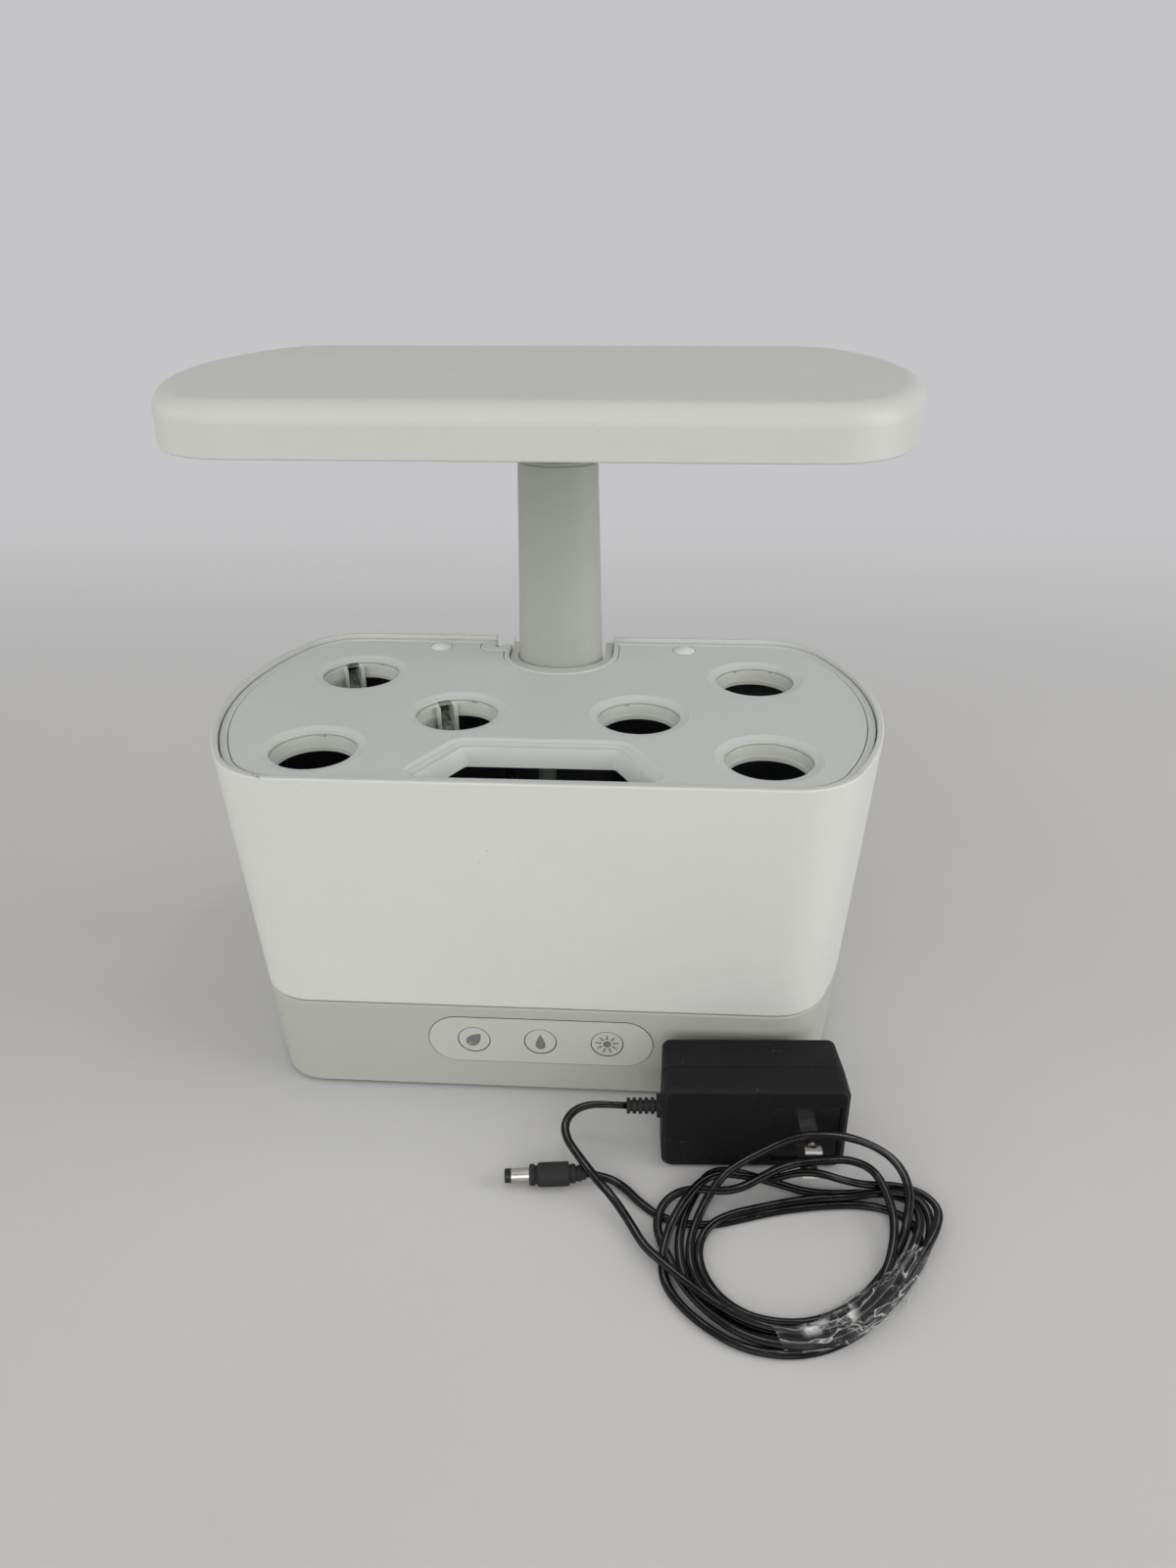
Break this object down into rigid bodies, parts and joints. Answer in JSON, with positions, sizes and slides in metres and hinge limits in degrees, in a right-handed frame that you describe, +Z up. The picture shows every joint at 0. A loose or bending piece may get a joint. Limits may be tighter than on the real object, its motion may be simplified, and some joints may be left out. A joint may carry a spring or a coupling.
{
  "type": "countertop hydroponic garden",
  "caption": "Countertop hydroponic garden: lamp hood on a telescopic post, pod deck and water bowl on a control base, with its mains adapter and cord.",
  "frame": {"origin": "on the surface the garden stands on, below the middle of its plan outline", "axes": "+Z up, +Y towards the post and the back, +X to the right as seen from the front"},
  "size_m": [0.2892, 0.2673, 0.284],
  "materials": {
    "shell_white": "fine satin moulding",
    "deck_grey": "fine satin moulding",
    "base_grey": "satin moulding",
    "post_grey": "satin moulding",
    "inner_tube": "anodised",
    "panel": "satin",
    "button": "gloss",
    "tub_black": "satin moulding",
    "black_plastic": "fine texture",
    "black_rubber": "matte",
    "cord_black": "matte",
    "screw_steel": "plated",
    "blade_metal": "nickel plated",
    "circuit_board": "solder mask",
    "switch": "matte",
    "led": "phosphor",
    "lens": "frosted",
    "foam": "open foam",
    "clear_tube": "clear",
    "rotor": "moulded"
  },
  "bodies": {
    "base": {"base_shell": "base_grey", "base_floor": "base_grey", "feet": "black_rubber", "floor_screws": "screw_steel", "panel_cover": "panel", "control_board": "circuit_board", "tact_switches": "switch", "status_leds": "led", "board_screws": "screw_steel", "dc_jack": "black_plastic", "power_board": "circuit_board", "base_wiring": "cord_black", "outer_tube": "post_grey", "post_bush": "post_grey", "post_screws": "screw_steel", "adapter_front": "black_plastic", "adapter_back": "black_plastic", "blade_carrier": "black_plastic", "prong_blades": "blade_metal", "adapter_board": "circuit_board", "strain_relief": "black_rubber", "cord_start": "cord_black", "cord_coil": "cord_black", "cord_end": "cord_black", "plug_barrel": "blade_metal", "plug_insulator": "black_plastic", "plug_body": "black_rubber"},
    "lamp": {"inner_tube": "inner_tube", "slider_shoe": "black_plastic", "hood_shell": "shell_white", "hood_bezel": "shell_white", "diffuser": "lens", "led_board": "circuit_board", "leds": "led", "hood_bracket": "shell_white", "hood_screws": "screw_steel", "lamp_lead": "cord_black"},
    "bowl": {"casing": "shell_white", "tub": "tub_black", "pump_body": "black_plastic", "pump_strainer": "black_plastic", "pump_foam": "foam", "riser_tube": "clear_tube", "pump_lead": "cord_black"},
    "deck": {"deck_ring": "deck_grey", "deck_plate": "deck_grey", "pod_collars": "deck_grey", "deck_pips": "shell_white", "water_trough": "tub_black"},
    "impeller": {"impeller": "rotor"},
    "food_button": {"food_button": "button"},
    "water_button": {"water_button": "button"},
    "light_button": {"light_button": "button"}
  },
  "joints": [
    {"name": "lamp_slide", "type": "slide", "parent": "base", "child": "lamp", "axis": [0, 0, 1], "range_m": [0, 0.081]},
    {"name": "bowl_lift", "type": "slide", "parent": "base", "child": "bowl", "axis": [0, 0, 1], "range_m": [0, 0.05]},
    {"name": "deck_lift", "type": "slide", "parent": "bowl", "child": "deck", "axis": [0, 0, 1], "range_m": [0, 0.06]},
    {"name": "impeller_spin", "type": "hinge", "parent": "bowl", "child": "impeller", "pos_m": [-0.009, 0.0155, 0.072], "axis": [0, 0, 1], "continuous": true},
    {"name": "food_press", "type": "slide", "parent": "base", "child": "food_button", "axis": [0, 0.9978, 0.0669], "range_m": [0, 0.0008], "stiffness_N_per_m": 1500, "springref_m": -0.0006},
    {"name": "water_press", "type": "slide", "parent": "base", "child": "water_button", "axis": [0, 0.9978, 0.0669], "range_m": [0, 0.0008], "stiffness_N_per_m": 1500, "springref_m": -0.0006},
    {"name": "light_press", "type": "slide", "parent": "base", "child": "light_button", "axis": [0, 0.9978, 0.0669], "range_m": [0, 0.0008], "stiffness_N_per_m": 1500, "springref_m": -0.0006}
  ]
}
